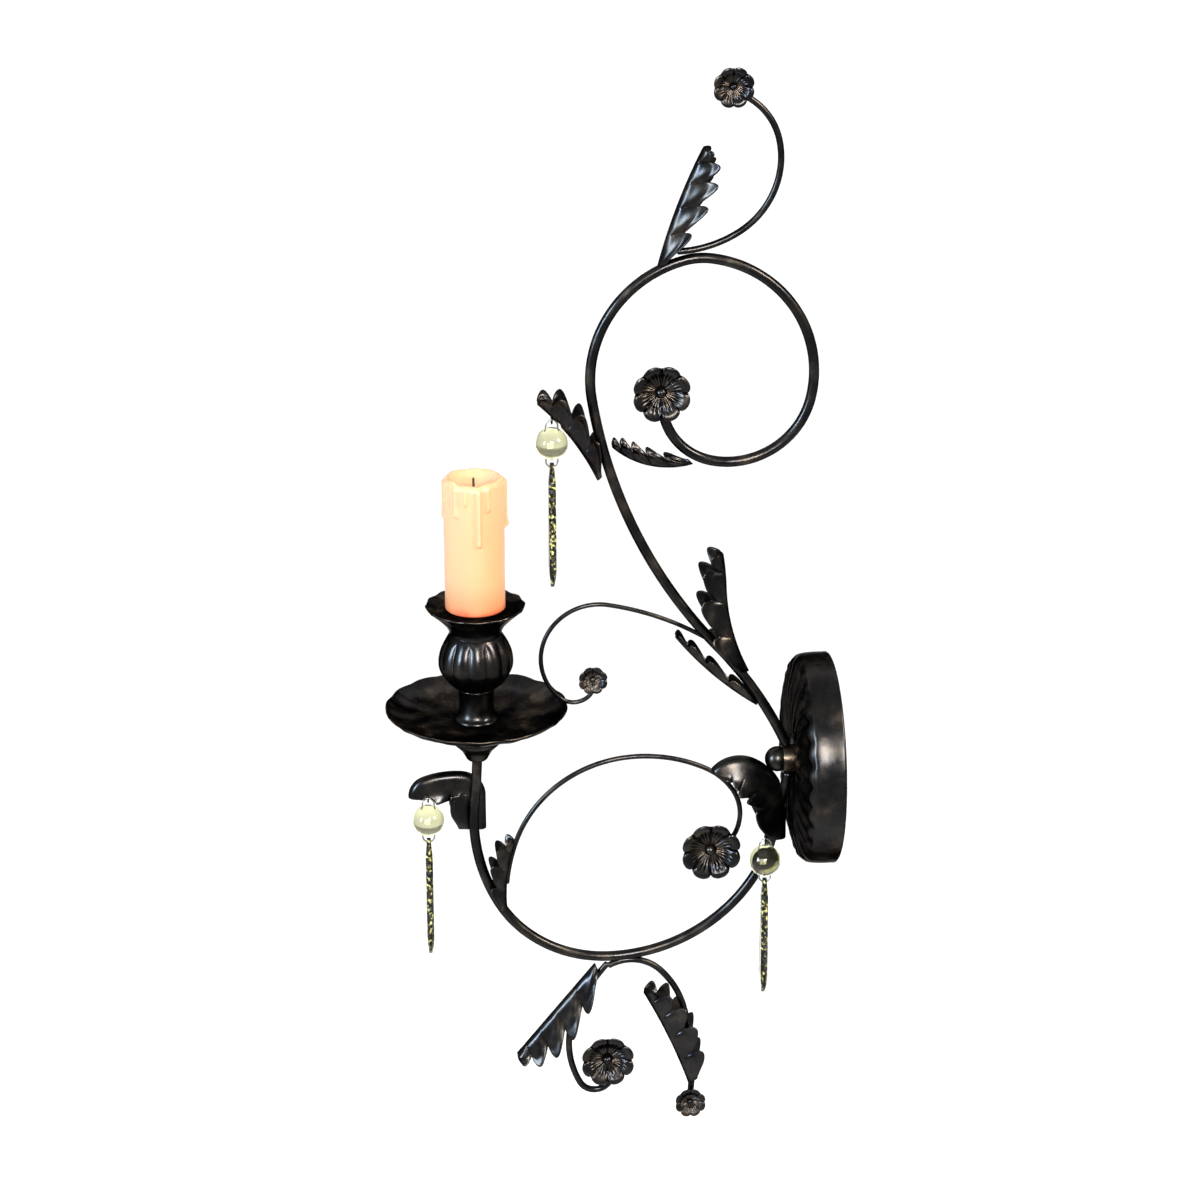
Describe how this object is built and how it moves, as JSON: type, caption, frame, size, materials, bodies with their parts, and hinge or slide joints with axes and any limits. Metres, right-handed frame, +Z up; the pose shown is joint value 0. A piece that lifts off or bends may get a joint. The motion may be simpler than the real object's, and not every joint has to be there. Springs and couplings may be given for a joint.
{
  "type": "wall sconce candle holder",
  "caption": "Scrolled wrought-iron wall sconce with a fluted wall plate, acanthus leaves, flower ends, a melon-bulb candle holder with drip tray, and hanging glass pendants.",
  "frame": {"origin": "centre of the mounting bar's back face, on the wall", "axes": "+Z up; the sconce stands out from the wall towards -Y, and the scrollwork lies in the plane X = 0"},
  "size_m": [0.133, 0.2784, 0.6921],
  "materials": {
    "iron": "glossy black-bronze enamel",
    "steel": "zinc plated",
    "wire": "plain wire",
    "wax": "smooth ivory wax",
    "wick": "charred cotton",
    "glass": "clear cut glass"
  },
  "bodies": {
    "root": {"wall_plate": "iron", "mounting_bar": "steel", "plate_stud": "steel", "lock_nut": "steel", "arm_hub": "iron", "ball_nut": "iron", "upper_arm": "iron", "lower_arm": "iron", "top_branch": "iron", "tray_branch": "iron", "inner_branch": "iron", "tail_branch": "iron", "loop_branch": "iron", "crest_leaf": "iron", "ring_leaf": "iron", "ring_foot_leaf": "iron", "upper_arm_leaf": "iron", "under_arm_leaf": "iron", "wall_leaf": "iron", "stem_leaf": "iron", "inner_leaf": "iron", "hanging_leaf": "iron", "tail_leaf": "iron", "top_flower": "iron", "ring_flower": "iron", "tray_flower": "iron", "inner_flower": "iron", "loop_flower": "iron", "tail_flower": "iron", "flower_rivets": "iron", "hanging_eyes": "iron", "arm_cup": "iron", "drip_tray": "iron", "ferrule": "iron", "melon_bulb": "iron", "candle_cup": "iron", "pricket_bolt": "steel"},
    "candle_set": {"candle": "wax", "wick": "wick"},
    "ring_bead_hang": {"ring_bead": "glass", "ring_bead_wires": "wire"},
    "ring_drop_hang": {"ring_drop": "glass"},
    "stem_bead_hang": {"stem_bead": "glass", "stem_bead_wires": "wire"},
    "stem_drop_hang": {"stem_drop": "glass"},
    "wall_bead_hang": {"wall_bead": "glass", "wall_bead_wires": "wire"},
    "wall_drop_hang": {"wall_drop": "glass"}
  },
  "joints": [
    {"name": "ring_swing", "type": "hinge", "parent": "root", "child": "ring_bead_hang", "pos_m": [0, -0.1745, 0.2284], "axis": [0, 1, 0], "range_deg": [-35, 35]},
    {"name": "ring_drop_swing", "type": "hinge", "parent": "ring_bead_hang", "child": "ring_drop_hang", "pos_m": [0, -0.1745, 0.1986], "axis": [0, 1, 0], "range_deg": [-35, 35]},
    {"name": "stem_swing", "type": "hinge", "parent": "root", "child": "stem_bead_hang", "pos_m": [-0.0042, -0.2528, -0.0196], "axis": [0, 1, 0], "range_deg": [-35, 15]},
    {"name": "stem_drop_swing", "type": "hinge", "parent": "stem_bead_hang", "child": "stem_drop_hang", "pos_m": [-0.0042, -0.2528, -0.0494], "axis": [0, 1, 0], "range_deg": [-35, 35]},
    {"name": "wall_swing", "type": "hinge", "parent": "root", "child": "wall_bead_hang", "pos_m": [0.0145, -0.0424, -0.0481], "axis": [0, 1, 0], "range_deg": [-35, 3]},
    {"name": "wall_drop_swing", "type": "hinge", "parent": "wall_bead_hang", "child": "wall_drop_hang", "pos_m": [0.0145, -0.0424, -0.0779], "axis": [0, 1, 0], "range_deg": [-35, 15]},
    {"name": "candle_lift", "type": "slide", "parent": "root", "child": "candle_set", "axis": [0, 0, 1], "range_m": [0, 0.05]}
  ]
}
